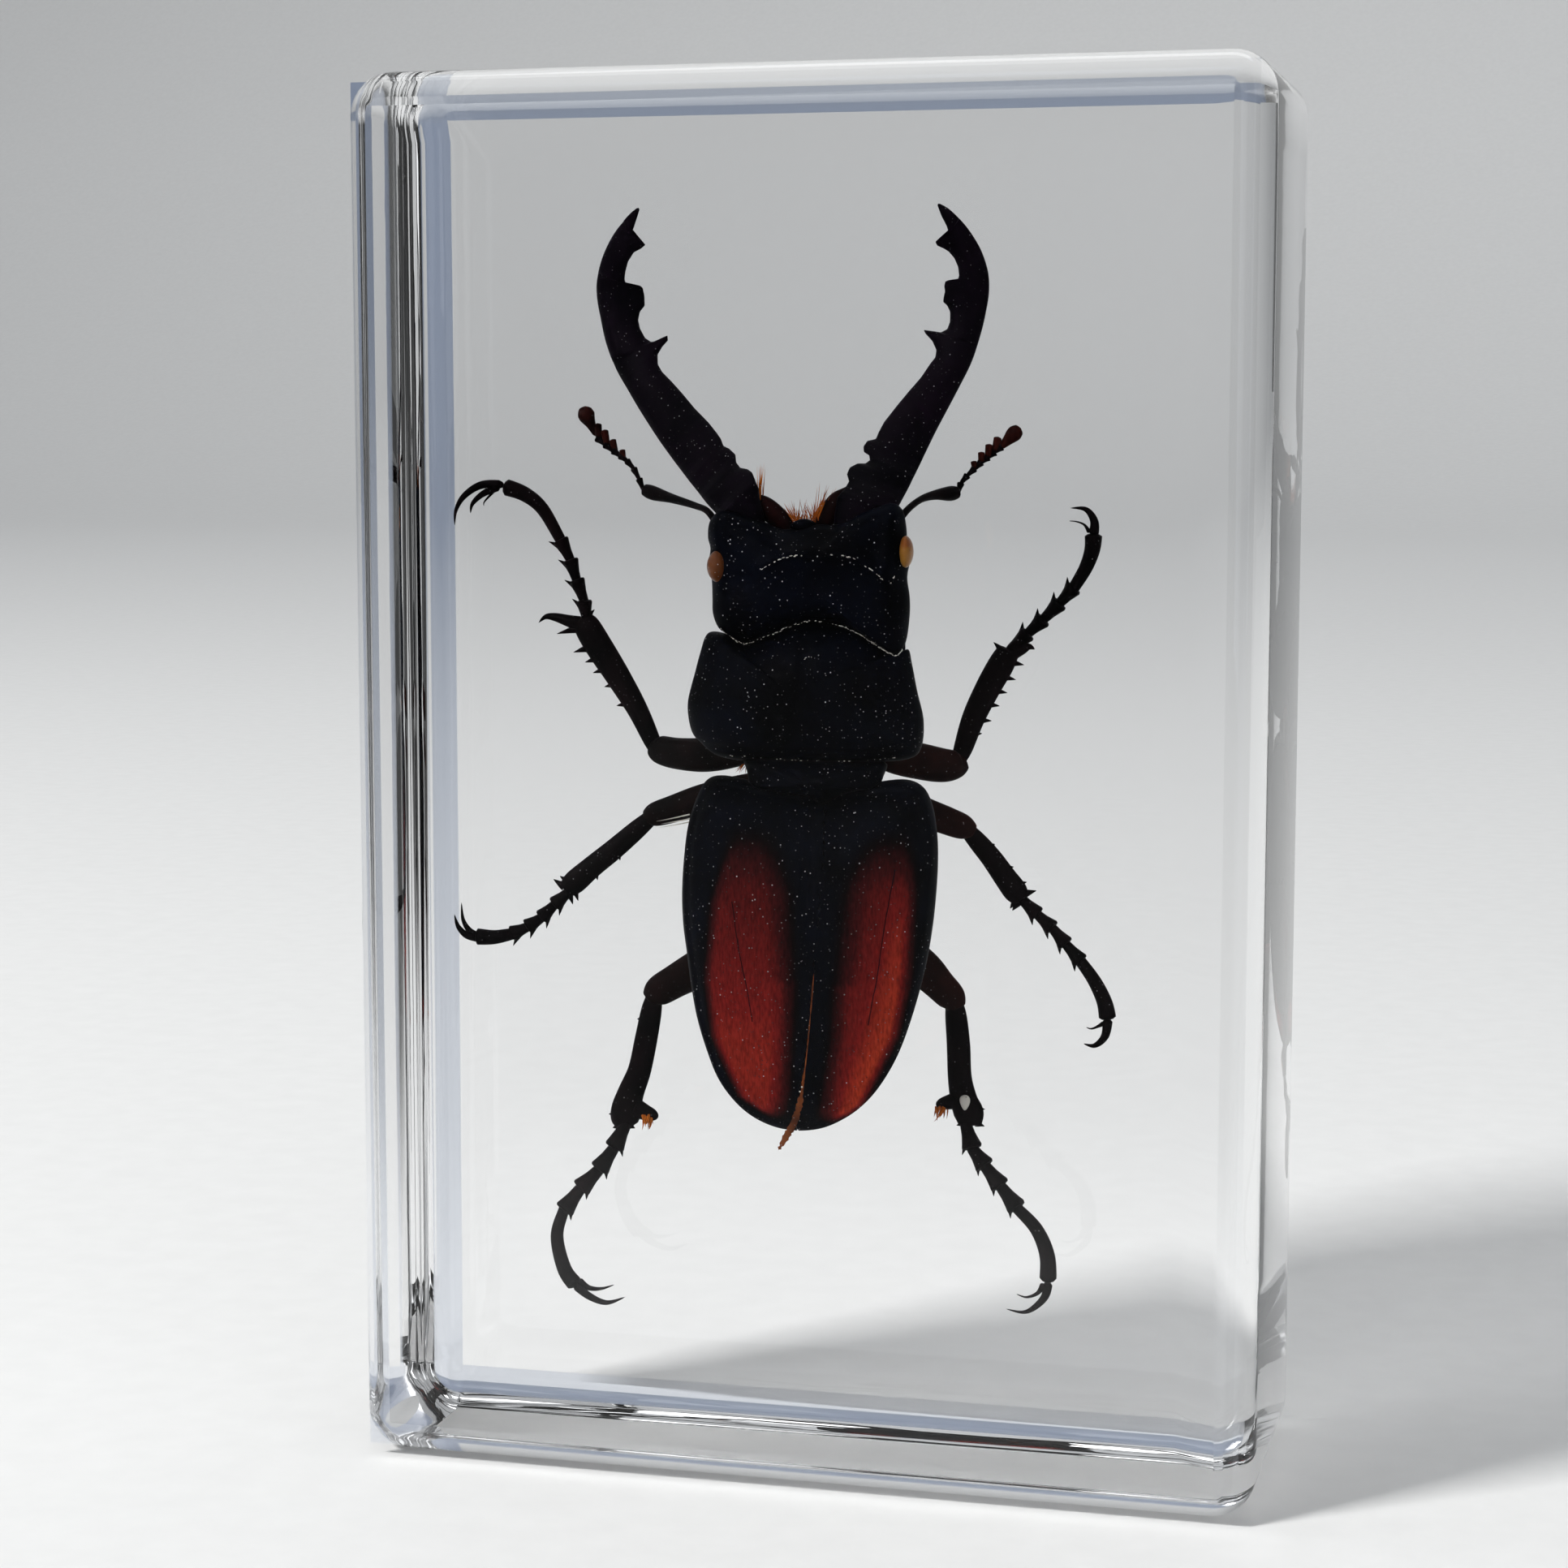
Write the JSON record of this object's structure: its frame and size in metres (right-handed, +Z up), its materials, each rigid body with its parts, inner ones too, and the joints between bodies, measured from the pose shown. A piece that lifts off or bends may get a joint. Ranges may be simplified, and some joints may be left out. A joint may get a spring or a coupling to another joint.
{
  "type": "specimen in resin block",
  "caption": "Black stag beetle with dark red wing-case patches, sealed in an upright clear resin block with rounded edges.",
  "frame": {"origin": "middle of the block's base, where it stands", "axes": "+Z up along the beetle towards its mandibles, +Y from the front face over the beetle's back to the rear face, +X to the right as seen from the front"},
  "size_m": [0.072, 0.027, 0.11],
  "materials": {
    "resin": "clear polished",
    "black_chitin": "glossy",
    "red_black_chitin": "glossy",
    "brown_chitin": "glossy",
    "amber": "satin",
    "orange_bristle": "matte"
  },
  "bodies": {
    "root": {"block_front_half": "resin", "block_back_half": "resin", "head": "black_chitin", "mandible_left": "black_chitin", "mandible_right": "black_chitin", "pronotum": "black_chitin", "scutellum": "black_chitin", "abdomen": "black_chitin", "elytron_left": "red_black_chitin", "elytron_right": "red_black_chitin", "antenna_left": "brown_chitin", "antenna_right": "brown_chitin", "front_left_femur": "brown_chitin", "front_left_tibia": "brown_chitin", "front_left_tarsus": "brown_chitin", "front_right_femur": "brown_chitin", "front_right_tibia": "brown_chitin", "front_right_tarsus": "brown_chitin", "middle_left_femur": "brown_chitin", "middle_left_tibia": "brown_chitin", "middle_left_tarsus": "brown_chitin", "middle_right_femur": "brown_chitin", "middle_right_tibia": "brown_chitin", "middle_right_tarsus": "brown_chitin", "hind_left_femur": "brown_chitin", "hind_left_tibia": "brown_chitin", "hind_left_tarsus": "brown_chitin", "hind_right_femur": "brown_chitin", "hind_right_tibia": "brown_chitin", "hind_right_tarsus": "brown_chitin", "eye_left": "amber", "eye_right": "amber", "mouthparts": "orange_bristle", "wing_tip": "orange_bristle"}
  },
  "joints": []
}
